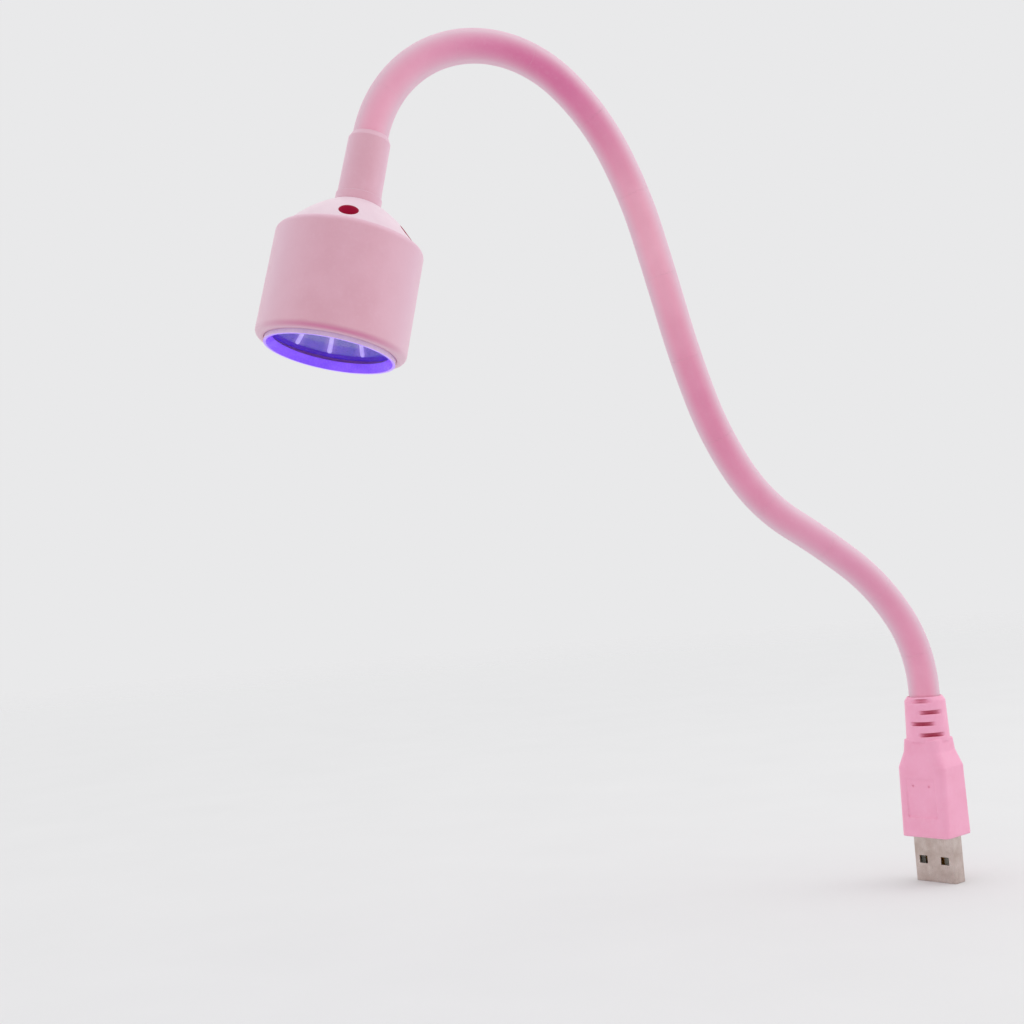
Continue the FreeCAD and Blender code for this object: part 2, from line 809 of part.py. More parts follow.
def build_sleeve(number, frame):
    """Pink sleeve segment around one link."""
    name = f"neck_sleeve_{number:02d}"
    end = "$link_length" if number == LINKS else "$link_length - $hinge_gap"
    gap = size("hinge_gap")
    outside = bend(name + "_outside", number, "$neck_radius", "$hinge_gap", end, gap)
    far = "$link_length + $hinge_gap"
    inside = bend(name + "_inside", number, "$sleeve_bore", "0", far, 0.0)
    piece = less(name, outside, inside)
    piece.Placement = link_frame(frame, number)
    return piece


def build_base_sleeve():
    """Sleeve around the ferrule, from inside the strain relief to the first hinge."""
    name = "neck_sleeve_base"
    low = size("sleeve_foot")
    height = "$first_hinge - $hinge_gap - $sleeve_foot"
    outside = solid("Cylinder", name + "_outside", lift(low), Radius="$neck_radius", Height=height)
    inside = solid(
        "Cylinder",
        name + "_inside",
        lift(low - PAST),
        Radius="$sleeve_bore",
        Height=f"{height} + {2 * PAST}",
    )
    return less(name, outside, inside)


def build_wire(name, side, frames):
    """One wire from the plug to the lamp board, swept along the neck beside its axis."""
    shift = Vector(0, side * size("wire_pitch") / 2, 0)
    start = Vector(0, 0, size("shell_buried") - size("wire_tail")).add(shift)
    route = [Part.LineSegment(start, frames[0].Base.add(shift)).toShape()]
    for number in range(1, LINKS + 1):
        here = frames[number - 1]
        there = frames[number]
        angle = turn_of(number)
        reach = size("link_length") / math.radians(angle)
        centre = here.multVec(Vector(-reach, 0, 0))
        half = Placement(Vector(), Rotation(Vector(0, 1, 0), -angle / 2))
        middle = centre.add(half.multVec(here.Base.sub(centre)))
        arc = Part.Arc(here.Base.add(shift), middle.add(shift), there.Base.add(shift))
        route.append(arc.toShape())
    end = frames[LINKS].multVec(Vector(0, 0, size("board_top"))).add(shift)
    route.append(Part.LineSegment(frames[LINKS].Base.add(shift), end).toShape())
    section = Part.Circle(start, Vector(0, 0, 1), size("wire_radius")).toShape()
    thing = doc.addObject("Part::Feature", name)
    thing.Shape = Part.Wire(route).makePipeShell([Part.Wire([section])], True, True)
    return thing


# ---------------------------------------------------------------- head


def build_collar():
    """Tapered collar between the neck and the dome, with a step near its foot."""
    body = new_body("neck_collar")
    feature = revolved(
        body,
        "collar_turned",
        [
            ("stem_hole", "0"),
            ("collar_lip", "0"),
            ("collar_top", "collar_bevel"),
            ("collar_foot", "collar_step"),
            ("collar_flange", "collar_step"),
            ("collar_flange", "collar_length"),
            ("stem_hole", "collar_length"),
        ],
    )
    step = ring_edge(size("collar_flange"), size("collar_step"))
    rounded(body, feature, "collar_step_edge", step, "$collar_edge")
    return body


def build_cap():
    """Domed cap with a skirt inside the can and vent holes square to the dome."""
    body = new_body("vent_cap")
    revolved(
        body,
        "dome",
        [
            ("stem_hole", "collar_length"),
            ("cap_brow", "collar_length"),
            ("crease_radius", "crease_depth"),
            ("skirt_radius", "crease_depth"),
            ("skirt_radius", "skirt_end"),
            ("skirt_bore", "skirt_end"),
            ("skirt_bore", "crease_depth"),
            ("cap_roof_radius", "cap_roof"),
            ("stem_hole", "cap_roof"),
        ],
        arcs={1: "dome_curve"},
    )
    slope = size("vent_slope")
    outward = Placement(
        Vector(size("vent_circle"), 0, size("vent_depth")), Rotation(Vector(0, 1, 0), 180 - slope)
    )
    for number in range(VENTS):
        turn = about_z(size("vent_azimuth") + number * 360 / VENTS)
        where = turn * outward * lift(-size("vent_cut") / 2)
        cylinder_cut(body, f"vent_{number}", where, Radius="$vent_radius", Height="$vent_cut")
    return body


def build_can():
    """Cup with a rounded shoulder, a round opening for the cap and a rounded lip."""
    body = new_body("head_can")
    feature = revolved(
        body,
        "can_turned",
        [
            ("skirt_radius", "crease_depth"),
            ("can_radius", "crease_depth"),
            ("can_foot", "can_mouth"),
            ("can_bore", "can_mouth"),
            ("can_bore", "can_roof"),
            ("skirt_radius", "can_roof"),
        ],
    )
    shoulder = rounded(
        body,
        feature,
        "can_shoulder",
        ring_edge(size("can_radius"), size("crease_depth")),
        "$can_radius - $crease_radius",
    )
    inside = rounded(
        body,
        shoulder,
        "can_inner_round",
        ring_edge(size("can_bore"), size("can_roof")),
        "$inner_round",
    )
    outside = ring_edge(size("can_foot"), size("can_mouth"))
    outer_lip = rounded(body, inside, "can_lip", outside, "$lip_round")
    bore_edge = ring_edge(size("can_bore"), size("can_mouth"))
    rounded(body, outer_lip, "can_lip_inside", bore_edge, "$lip_inside")
    return body


def build_upper_ferrule():
    return tube("upper_ferrule", "$stem_radius", "$core_bore", "origin_row", "stem_end")


def build_nut():
    low = size("cap_roof") + size("washer_thick")
    prism = solid("Prism", "nut_block", lift(low), Circumradius="$nut_corner", Height="$nut_thick")
    prism.Polygon = 6
    hole = solid(
        "Cylinder",
        "nut_hole",
        lift(low - PAST),
        Radius="$stem_radius",
        Height=f"$nut_thick + {2 * PAST}",
    )
    return less("collar_nut", prism, hole)


def build_washer():
    low = size("cap_roof")
    disc = solid("Cylinder", "washer_disc", lift(low), Radius="$washer_radius", Height="$washer_thick")
    hole = solid(
        "Cylinder",
        "washer_hole",
        lift(low - PAST),
        Radius="$stem_radius",
        Height=f"$washer_thick + {2 * PAST}",
    )
    return less("lock_washer", disc, hole)


def screw_places():
    first = size("screw_azimuth")
    return [about_z(first + number * 360 / SCREWS) for number in range(SCREWS)]


def build_heat_sink():
    """Round plate with straight fins under the vent holes and three screw holes."""
    plate = solid(
        "Cylinder",
        "sink_plate",
        lift(size("plate_top")),
        Radius="$plate_radius",
        Height="$plate_thick",
    )
    fins = []
    for number in range(FINS):
        across = (number - (FINS - 1) / 2) * size("fin_pitch") - size("fin_thick") / 2
        fins.append(
            solid(
                "Box",
                f"fin_{number}",
                lift(size("fin_top"), across, -size("plate_radius")),
                Length="$fin_thick",
                Width="2 * $plate_radius",
                Height=f"$plate_top - $fin_top + {JOIN}",
            )
        )
    round_off = solid(
        "Cylinder",
        "fin_outline",
        lift(size("fin_top") - PAST),
        Radius="$fin_circle",
        Height=f"$plate_top - $fin_top + {2 * PAST}",
    )
    trimmed = doc.addObject("Part::MultiCommon", "fins_trimmed")
    trimmed.Shapes = [joined("fins", fins), round_off]
    whole = joined("sink_whole", [plate, trimmed])
    cutters = [
        solid(
            "Cylinder",
            "sink_passage",
            lift(size("fin_top") - PAST),
            Radius="$passage",
            Height=f"$plate_top - $fin_top + $plate_thick + {2 * PAST}",
        )
    ]
    for number, turn in enumerate(screw_places()):
        where = turn * lift(size("pad_top") - size("screw_bite"), size("screw_circle"))
        depth = f"$screw_bite + {PAST}"
        cutters.append(
            solid("Cylinder", f"sink_screw_{number}", where, Radius="$screw_shank", Height=depth)
        )
    return less("heat_sink", whole, joined("sink_cutters", cutters))


def build_thermal_pad():
    return tube("thermal_pad", "$pad_radius", "$passage", "pad_top", "board_top")


def build_board():
    disc = solid(
        "Cylinder",
        "board_disc",
        lift(size("board_top")),
        Radius="$board_radius",
        Height="$board_thick",
    )
    holes = []
    depth = f"$board_thick + {2 * PAST}"
    for number, turn in enumerate(screw_places()):
        where = turn * lift(size("board_top") - PAST, size("screw_circle"))
        holes.append(
            solid("Cylinder", f"board_hole_{number}", where, Radius="$screw_shank", Height=depth)
        )
    return less("led_board", disc, joined("board_holes", holes))


def build_screws():
    """Pan-head screws through the board into the heat sink, one group of solids."""
    pieces = []
    for number, turn in enumerate(screw_places()):
        top = turn * lift(size("board_face"), size("screw_circle"))
        head = solid(
            "Cylinder", f"screw_{number}_head", top, Radius="$screw_head", Height="$screw_head_thick"
        )
        bottom = turn * lift(size("pad_top") - size("screw_bite"), size("screw_circle"))
        shank = solid(
            "Cylinder",
            f"screw_{number}_shank",
            bottom,
            Radius="$screw_shank",
            Height=f"$screw_bite + $pad_thick + $board_thick + {JOIN}",
        )
        slot = solid(
            "Box",
            f"screw_{number}_slot",
            top * lift(size("drive_floor"), -size("screw_head"), -size("drive_width") / 2),
            Length="2 * $screw_head",
            Width="$drive_width",
            Height="$screw_head_thick",
        )
        pieces.append(less(f"screw_{number}", joined(f"screw_{number}_blank", [head, shank]), slot))
    return joined("board_screws", pieces)


def build_package():
    return solid(
        "Box",
        "led_package",
        lift(size("board_face"), -size("chip_side") / 2, -size("chip_side") / 2),
        Length="$chip_side",
        Width="$chip_side",
        Height="$chip_thick",
    )


def build_emitter_dome():
    where = lift(size("board_face") + size("chip_thick"))
    piece = solid("Sphere", "led_dome", where, Radius="$emitter_radius")
    piece.Angle1 = 0.0
    return piece


def build_resistors():
    pieces = []
    for number in range(RESISTORS):
        turn = about_z(size("resistor_azimuth") + number * 360 / RESISTORS)
        where = turn * lift(
            size("board_face"),
            size("resistor_circle") - size("resistor_length") / 2,
            -size("resistor_width") / 2,
        )
        pieces.append(
            solid(
                "Box",
                f"resistor_{number}",
                where,
                Length="$resistor_length",
                Width="$resistor_width",
                Height="$resistor_thick",
            )
        )
    return joined("board_resistors", pieces)


def build_reflector():
    """Cup with flat mirror facets: turned outside, two rings of flats inside."""
    outside = new_body("reflector_outside")
    revolved(
        outside,
        "reflector_turned",
        [
            ("0", "cup_floor"),
            ("cup_outer_low", "cup_floor"),
            ("cup_outer_waist", "cup_waist_outer"),
            ("cup_outer_high", "cup_flange_top"),
            ("cup_flange", "cup_flange_top"),
            ("cup_flange", "cup_rim"),
            ("0", "cup_rim"),
        ],
    )
    rings = []
    for name, radius, height in (
        ("low", "facet_low", size("cup_floor") - TIP),
        ("waist", "facet_waist", size("cup_waist")),
        ("high", "facet_high", size("cup_rim") + TIP),
    ):
        ring = solid("RegularPolygon", f"facets_{name}", lift(height), Circumradius=f"${radius}")
        ring.Polygon = FACETS
        rings.append(ring)
    hollow = doc.addObject("Part::Loft", "facet_hollow")
    hollow.Sections = rings
    hollow.Solid = True
    hollow.Ruled = True
    return less("reflector_cup", outside, hollow)


def build_gasket():
    return tube("lens_gasket", "$lens_radius", "$bezel_bore", "cup_rim", "lens_top")


def build_lens():
    return solid(
        "Cylinder",
        "front_lens",
        lift(size("lens_top")),
        Radius="$lens_radius",
        Height="$lens_thick",
    )


def build_bezel():
    """Light ring with a bore that flares towards the mouth."""
    body = new_body("bezel_ring")
    revolved(
        body,
        "ring_turned",
        [
            ("bezel_bore", "bezel_top"),
            ("bezel_radius", "bezel_top"),
            ("bezel_radius", "bezel_end"),
            ("bezel_flare", "bezel_end"),
        ],
    )
    return body


# ---------------------------------------------------------------- assembly

frames = neck_frames()
head_frame = frames[LINKS]

nodes = [
    build_overmould(),
    build_shell(),
    build_tongue(),
    build_contacts(),
    build_inner_mould(),
    build_lower_ferrule(),
    build_base_sleeve(),
]
for number in range(1, LINKS + 1):
    nodes.append(build_core(number, frames[number - 1]))
    nodes.append(build_sleeve(number, frames[number - 1]))
nodes.append(build_wire("wire_red", 1, frames))
nodes.append(build_wire("wire_black", -1, frames))

head = [
    build_collar(),
    build_cap(),
    build_can(),
    build_upper_ferrule(),
    build_nut(),
    build_washer(),
    build_heat_sink(),
    build_thermal_pad(),
    build_board(),
    build_screws(),
    build_package(),
    build_emitter_dome(),
    build_resistors(),
    build_reflector(),
    build_gasket(),
    build_lens(),
    build_bezel(),
]
doc.recompute()
for piece in head:
    piece.Placement = head_frame * piece.Placement
nodes += head
doc.recompute()

for item in doc.Objects:
    bad = [word for word in item.State if word in ("Invalid", "Error")]
    if bad:
        raise RuntimeError(f"{item.Name}: {bad}")
for node in nodes:
    if node.Shape.isNull() or not node.Shape.isValid() or not node.Shape.Solids:
        raise RuntimeError(f"{node.Name} has no valid solid")
for item in doc.Objects:
    if hasattr(item, "Shape") and not item.Shape.isNull() and not item.Shape.isValid():
        raise RuntimeError(f"{item.Name} isn't a valid shape")

os.makedirs("parts", exist_ok=True)
for node in nodes:
    node.Shape.exportStep(f"parts/{node.Label}.step")
print(len(nodes), "nodes")
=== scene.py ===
import json
import math

import bmesh
import bpy
import numpy as np
from mathutils import Matrix, Vector

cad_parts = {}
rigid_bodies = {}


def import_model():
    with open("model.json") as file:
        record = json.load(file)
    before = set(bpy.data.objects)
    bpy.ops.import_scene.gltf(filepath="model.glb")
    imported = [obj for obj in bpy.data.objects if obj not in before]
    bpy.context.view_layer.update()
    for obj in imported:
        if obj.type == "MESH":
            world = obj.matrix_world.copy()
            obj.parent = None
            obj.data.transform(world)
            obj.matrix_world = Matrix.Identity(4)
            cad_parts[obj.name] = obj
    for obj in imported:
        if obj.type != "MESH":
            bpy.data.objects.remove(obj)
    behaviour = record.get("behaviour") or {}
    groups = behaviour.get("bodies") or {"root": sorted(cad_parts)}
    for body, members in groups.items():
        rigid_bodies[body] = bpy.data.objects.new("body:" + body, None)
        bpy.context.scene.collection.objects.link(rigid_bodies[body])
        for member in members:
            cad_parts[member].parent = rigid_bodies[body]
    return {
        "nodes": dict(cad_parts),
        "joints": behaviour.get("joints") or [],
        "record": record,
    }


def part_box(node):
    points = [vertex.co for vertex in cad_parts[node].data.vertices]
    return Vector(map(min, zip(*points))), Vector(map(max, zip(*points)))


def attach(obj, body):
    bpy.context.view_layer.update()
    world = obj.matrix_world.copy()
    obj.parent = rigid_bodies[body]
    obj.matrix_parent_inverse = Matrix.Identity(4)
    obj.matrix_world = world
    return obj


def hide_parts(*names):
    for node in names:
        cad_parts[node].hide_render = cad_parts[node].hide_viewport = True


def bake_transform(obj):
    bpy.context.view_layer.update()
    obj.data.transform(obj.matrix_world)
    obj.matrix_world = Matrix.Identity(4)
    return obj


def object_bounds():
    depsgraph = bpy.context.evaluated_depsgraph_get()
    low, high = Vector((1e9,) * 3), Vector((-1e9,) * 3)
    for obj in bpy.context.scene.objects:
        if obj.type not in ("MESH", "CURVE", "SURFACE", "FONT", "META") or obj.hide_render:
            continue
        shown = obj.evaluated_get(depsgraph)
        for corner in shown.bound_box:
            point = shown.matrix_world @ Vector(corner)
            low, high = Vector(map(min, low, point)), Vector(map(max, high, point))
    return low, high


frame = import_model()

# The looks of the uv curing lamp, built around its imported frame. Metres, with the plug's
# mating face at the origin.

CAD_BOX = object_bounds()
MM = 0.001

# ---------------------------------------------------------------- the neck's centreline


def chain_of(joints):
    """The hinges in order, from the plug to the head."""
    by_parent = {joint["parent"]: joint for joint in joints}
    body, chain = "plug", []
    while body in by_parent:
        chain.append(by_parent[body])
        body = by_parent[body]["child"]
    return chain


def points_of(node):
    """A CAD node's vertices, one row each."""
    mesh = frame["nodes"][node].data
    flat = np.zeros(len(mesh.vertices) * 3)
    mesh.vertices.foreach_get("co", flat)
    return flat.reshape(-1, 3)


def heading_vector(heading):
    """Direction of the neck where it leans by heading, in radians, from +Z towards -X."""
    return Vector((-math.sin(heading), 0, math.cos(heading)))


CHAIN = chain_of(frame["joints"])
LINKS = len(CHAIN)
BODIES = ["plug"] + [joint["child"] for joint in CHAIN]
HINGES = [Vector(joint["pos_m"]) for joint in CHAIN]

# Each link is an arc, so its chord leans half way between the headings at its two ends.
headings, turns, lengths = [0.0], [], []
for low, high in zip(HINGES, HINGES[1:]):
    chord = high - low
    lean = math.atan2(-chord.x, chord.z)
    turns.append(2 * (lean - headings[-1]))
    headings.append(headings[-1] + turns[-1])
    lengths.append(chord.length * (turns[-1] / 2) / math.sin(turns[-1] / 2))
LINK = sum(lengths) / len(lengths)

# The lens is a thin disc, so the direction it spreads least in is the head's axis.
lens_points = points_of("front_lens")
_, _, spread = np.linalg.svd(lens_points - lens_points.mean(0))
axis = Vector(spread[2])
if axis.dot(heading_vector(headings[-1])) < 0:
    axis = -axis
headings.append(math.atan2(-axis.x, axis.z) % (2 * math.pi))
turns.append(headings[-1] - headings[-2])


def along(distance):
    """The point of the centreline this far past the first hinge, and its heading there."""
    if distance < 0:
        return HINGES[0] + Vector((0, 0, distance)), 0.0
    number = min(int(distance / LINK), LINKS - 1)
    over = distance - number * LINK
    straight = max(over - LINK, 0.0) if number == LINKS - 1 else 0.0
    over -= straight
    start, turn = headings[number], turns[number]
    end = start + turn * over / LINK
    reach = LINK / turn
    step = Vector((math.cos(end) - math.cos(start), 0, math.sin(end) - math.sin(start)))
    return HINGES[number] + reach * step + straight * heading_vector(end), end


NECK_END, HEAD_LEAN = along(LINKS * LINK)
HEAD = Matrix.Translation(NECK_END) @ Matrix.Rotation(-HEAD_LEAN, 4, "Y")

# Painted highlight along the neck: how pale the sleeve is painted where the light falls on it, mm
# past the first hinge, then 0 for deep pink to 1.
PAINTED_HIGHLIGHT_ALONG_NECK = (
    (0, 0.7), (20, 0.5), (45, 0.25), (75, 0.45), (105, 0.42), (120, 0.7), (140, 1.0),
    (152, 0.98), (172, 0.38), (186, 0.03), (210, 0.0), (222, 0.25), (234, 0.62), (248, 0.85),
)

# ---------------------------------------------------------------- mesh helpers


def piece(name, mesh):
    """A new piece of the scene with this mesh."""
    thing = bpy.data.objects.new(name, mesh)
    bpy.context.scene.collection.objects.link(thing)
    return thing


def mesh_from(name, points, faces):
    mesh = bpy.data.meshes.new(name)
    mesh.from_pydata([tuple(point) for point in points], [], faces)
    mesh.validate()
    return mesh


def remember_rest(mesh):
    """Keeps each vertex's place at rest, so that the finish doesn't slide when the piece bends."""
    flat = np.zeros(len(mesh.vertices) * 3, np.float32)
    mesh.vertices.foreach_get("co", flat)
    mesh.attributes.new("rest", "FLOAT_VECTOR", "POINT").data.foreach_set("vector", flat)


def cross_frame(distance, aside=0.0):
    """Centre, the two cross directions and the heading of a section of the neck.

    aside moves the centre along Y."""
    centre, heading = along(distance)
    across = Vector((math.cos(heading), 0, math.sin(heading)))
    return centre + Vector((0, aside, 0)), across, Vector((0, 1, 0)), heading_vector(heading)


def swept(name, stations, radius, sides, aside=0.0, bore=None):
    """A closed rod, or a closed tube if it has a bore, along the centreline.

    Its outer normals are exact, so that the end of one piece shades like the start of the next."""
    points, faces, normals = [], [], []
    skins = [(radius, 1)] + ([(bore, -1)] if bore else [])
    turn = [2 * math.pi * k / sides for k in range(sides)]
    spokes = []
    for size, sign in skins:
        for station in stations:
            centre, across, beside, _ = cross_frame(station, aside)
            for angle in turn:
                spoke = across * math.cos(angle) + beside * math.sin(angle)
                points.append(centre + size * spoke)
                spokes.append(spoke * sign)
    rings = len(stations)

    def ring(skin, row):
        return [(skin * rings + row) * sides + k for k in range(sides)]

    def add(face, own):
        faces.append(face)
        normals.extend(own)

    for skin, (_, sign) in enumerate(skins):
        for row in range(rings - 1):
            low, high = ring(skin, row), ring(skin, row + 1)
            for k in range(sides):
                face = [low[k], low[(k + 1) % sides], high[(k + 1) % sides], high[k]][::sign]
                add(face, [spokes[v] for v in face])
    for row, sign in ((0, -1), (rings - 1, 1)):
        facing = cross_frame(stations[row])[3] * sign
        outer = ring(0, row)
        if bore:
            inner = ring(1, row)
            for k in range(sides):
                after = (k + 1) % sides
                face = [outer[k], outer[after], inner[after], inner[k]][::sign]
                add(face, [facing] * 4)
        else:
            add(outer[::sign], [facing] * sides)
    mesh = bpy.data.meshes.new(name)
    mesh.from_pydata([tuple(point) for point in points], [], faces)
    mesh.polygons.foreach_set("use_smooth", [True] * len(faces))
    mesh.normals_split_custom_set([tuple(normal) for normal in normals])
    remember_rest(mesh)
    # Stores, for each vertex, how strongly the painted highlight along the neck shows.
    places, pallor = zip(*PAINTED_HIGHLIGHT_ALONG_NECK)
    level = np.repeat(np.interp(np.array(stations) / MM, places, pallor), sides)
    level = np.tile(level, len(skins)).astype(np.float32)
    mesh.attributes.new("pallor", "FLOAT", "POINT").data.foreach_set("value", level)
    return piece(name, mesh)


def spaced(low, high):
    """Evenly spaced stations from low to high, no further apart than RING_GAP."""
    count = max(2, math.ceil((high - low) / RING_GAP) + 1)
    return [float(station) for station in np.linspace(low, high, count)]


# ---------------------------------------------------------------- the neck's soft pieces

RING_GAP = 0.8 * MM
SKIN_SIDES = 64
SKIN = 3.93 * MM  # the sleeve, outside
LINING = 3.66 * MM  # inside: it clears the cores while the neck bends
FIRST_BEND = (-1.5 * MM, 4.5 * MM)  # above the strain relief's mouth
BEND = (-10.3 * MM, 10.3 * MM)  # how far to each side of a hinge the sleeve would bend
WIRE_SIDES = 14
WIRE = 0.44 * MM
WIRE_SIDE = 0.49 * MM  # from the neck's centre to a wire's
WIRE_BEND = (-2 * MM, 2 * MM)


def halves(low, high):
    """Cuts at the middle of each link, so that every cut is far from a hinge."""
    return [low] + [LINK * (number + 0.5) for number in range(LINKS)] + [high]


def chain_pieces(name, cuts, nodes, slot, bends, **section):
    """One piece per hinge, each fixed where it is built, and the last on the head.

    bends gives the stretch before and after the hinge of that number; the ends found from it are
    not used."""
    made = []
    for number, (low, high) in enumerate(zip(cuts, cuts[1:])):
        thing = swept(f"{name}_{number + 1:02d}", spaced(low, high), **section)
        if number < LINKS:
            ends = [
                (BODIES[number + upper], along(number * LINK + edge)[0])
                for upper, edge in enumerate(bends(number))
            ]
            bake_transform(thing)
        else:
            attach(thing, BODIES[number])
        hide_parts(nodes[min(number, len(nodes) - 1)])
        made.append(thing)
    return made


sleeves = ["neck_sleeve_base"] + [f"neck_sleeve_{number:02d}" for number in range(1, LINKS + 1)]
sleeve_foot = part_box("neck_sleeve_base")[0].z - HINGES[0].z
skin_pieces = chain_pieces(
    "neck_skin",
    halves(sleeve_foot, LINKS * LINK),
    sleeves,
    "pink_sleeve",
    lambda number: BEND if number else FIRST_BEND,
    radius=SKIN,
    bore=LINING,
    sides=SKIN_SIDES,
)

board_depth = min((HEAD.inverted() @ Vector(p)).z for p in points_of("led_board"))
wire_pieces = {}
for node in ("wire_red", "wire_black"):
    side = math.copysign(WIRE_SIDE, points_of(node)[:, 1].mean())
    wire_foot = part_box(node)[0].z - HINGES[0].z
    wire_pieces[node] = chain_pieces(
        f"{node}_run",
        halves(wire_foot, LINKS * LINK + board_depth),
        [node],
        node,
        lambda number: WIRE_BEND,
        radius=WIRE,
        sides=WIRE_SIDES,
        aside=side,
    )

# ---------------------------------------------------------------- the plug's overmould


WELD = 1e-6
VOXEL = 0.14 * MM
MELT_FACTOR, MELT_PASSES = 0.5, 4


def copy_of(node, name):
    """A welded copy of a CAD node's mesh as a new piece."""
    work = bmesh.new()
    work.from_mesh(frame["nodes"][node].data)
    bmesh.ops.remove_doubles(work, verts=work.verts, dist=WELD)
    mesh = bpy.data.meshes.new(name)
    work.to_mesh(mesh)
    work.free()
    return piece(name, mesh)


def apply_modifiers(thing):
    """Makes the shape that the modifiers give the piece's own mesh."""
    bpy.context.view_layer.update()
    graph = bpy.context.evaluated_depsgraph_get()
    final = bpy.data.meshes.new_from_object(thing.evaluated_get(graph))
    thing.modifiers.clear()
    thing.data = final


def softened(node, name):
    """The CAD node's shape with its edges melted a little, as soft moulding leaves them."""
    thing = copy_of(node, name)
    remesh = thing.modifiers.new("even", "REMESH")
    remesh.mode = "VOXEL"
    remesh.voxel_size = VOXEL
    smooth = thing.modifiers.new("melt", "SMOOTH")
    smooth.factor = MELT_FACTOR
    smooth.iterations = MELT_PASSES
    apply_modifiers(thing)
    thing.data.materials.clear()
    thing.data.polygons.foreach_set("use_smooth", [True] * len(thing.data.polygons))
    return thing


overmould = softened("plug_overmould", "plug_body")
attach(overmould, "plug")
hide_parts("plug_overmould")

# ---------------------------------------------------------------- the reflector's ribs

RIBS = 10
RIB_LOW, RIB_HIGH = 0.25 * MM, 0.6 * MM  # a rib's radius at its ends
RIB_SIDES = 14
RIB_STEPS = 8  # along each facet's edge
RIB_SHORT = 0.4 * MM  # the ribs stop this far from the cup's rims
DOME_LENGTH, DOME_WIDTH = 0.7, 0.6  # of a rib's rounded end, in radii
CORNER_SLACK = 0.03  # in facets
LEVEL_SLACK = 0.05 * MM


def corner_number(point):
    """Direction of a point in the head's frame, counted in facets from the first corner."""
    return math.atan2(point.y, point.x) / (2 * math.pi) * RIBS


def facet_corners():
    """Corners of the mirror facets in the head's frame, one list per level of the cup."""
    levels = {}
    for point in points_of("reflector_cup"):
        local = HEAD.inverted() @ Vector(point)
        levels.setdefault(round(local.z / MM, 1), []).append(local)
    found = []
    for depth in sorted(levels):
        least = min(math.hypot(p.x, p.y) for p in levels[depth])
        innermost = [p for p in levels[depth] if math.hypot(p.x, p.y) < least + LEVEL_SLACK]
        ring = {round(corner_number(p)) % RIBS: p for p in innermost}
        off = [abs(corner_number(p) - round(corner_number(p))) for p in innermost]
        if max(off) < CORNER_SLACK and len(ring) == RIBS:
            found.append([ring[number] for number in range(RIBS)])
    return found


def bead(path, radii, sides):
    """Points and faces of a round bead along a path, closed by domes of one ring each."""
    points, faces = [], []
    before, after = [path[0]] + path[:-1], path[1:] + [path[-1]]
    ways = [(high - low).normalized() for low, high in zip(before, after)]
    foot = path[0] - ways[0] * radii[0] * DOME_LENGTH
    tip = path[-1] + ways[-1] * radii[-1] * DOME_LENGTH
    stations = [(foot, radii[0] * DOME_WIDTH, ways[0])]
    stations += list(zip(path, radii, ways))
    stations += [(tip, radii[-1] * DOME_WIDTH, ways[-1])]
    for centre, radius, ahead in stations:
        sideways = ahead.cross(Vector((0, 0, 1))).normalized()
        outward = sideways.cross(ahead)
        for k in range(sides):
            angle = 2 * math.pi * k / sides
            spoke = math.cos(angle) * sideways + math.sin(angle) * outward
            points.append(centre + radius * spoke)
    for row in range(len(stations) - 1):
        for k in range(sides):
            after = (k + 1) % sides
            low, high = row * sides, (row + 1) * sides
            faces.append([low + k, high + k, high + after, low + after])
    last = (len(stations) - 1) * sides
    faces.append(list(range(sides)))
    faces.append([last + k for k in reversed(range(sides))])
    return points, faces


def reflector_ribs():
    """Ten frosted ribs in the corners between the mirror facets."""
    levels = facet_corners()
    points, faces = [], []
    for number in range(RIBS):
        corners = [level[number] for level in levels]
        path = []
        for low, high in zip(corners, corners[1:]):
            path += [low.lerp(high, k / RIB_STEPS) for k in range(RIB_STEPS)]
        path.append(corners[-1])
        path[0] = path[0] + (path[1] - path[0]).normalized() * RIB_SHORT
        path[-1] = path[-1] - (path[-1] - path[-2]).normalized() * RIB_SHORT
        depth = corners[-1].z - corners[0].z
        shares = [(p.z - corners[0].z) / depth for p in path]
        radii = [RIB_LOW + (RIB_HIGH - RIB_LOW) * share for share in shares]
        own_points, own_faces = bead([HEAD @ p for p in path], radii, RIB_SIDES)
        faces += [[len(points) + index for index in face] for face in own_faces]
        points += own_points
    mesh = mesh_from("reflector_ribs", points, faces)
    mesh.polygons.foreach_set("use_smooth", [True] * len(mesh.polygons))
    return piece("reflector_ribs", mesh)


ribs = reflector_ribs()
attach(ribs, BODIES[-1])

# ---------------------------------------------------------------- materials


def tone(red, green, blue):
    """A display colour, 0 to 255, as the linear colour a node takes."""
    return tuple(
        (value / 255 / 12.92 if value <= 10 else ((value / 255 + 0.055) / 1.055) ** 2.4)
        for value in (red, green, blue)
    ) + (1.0,)


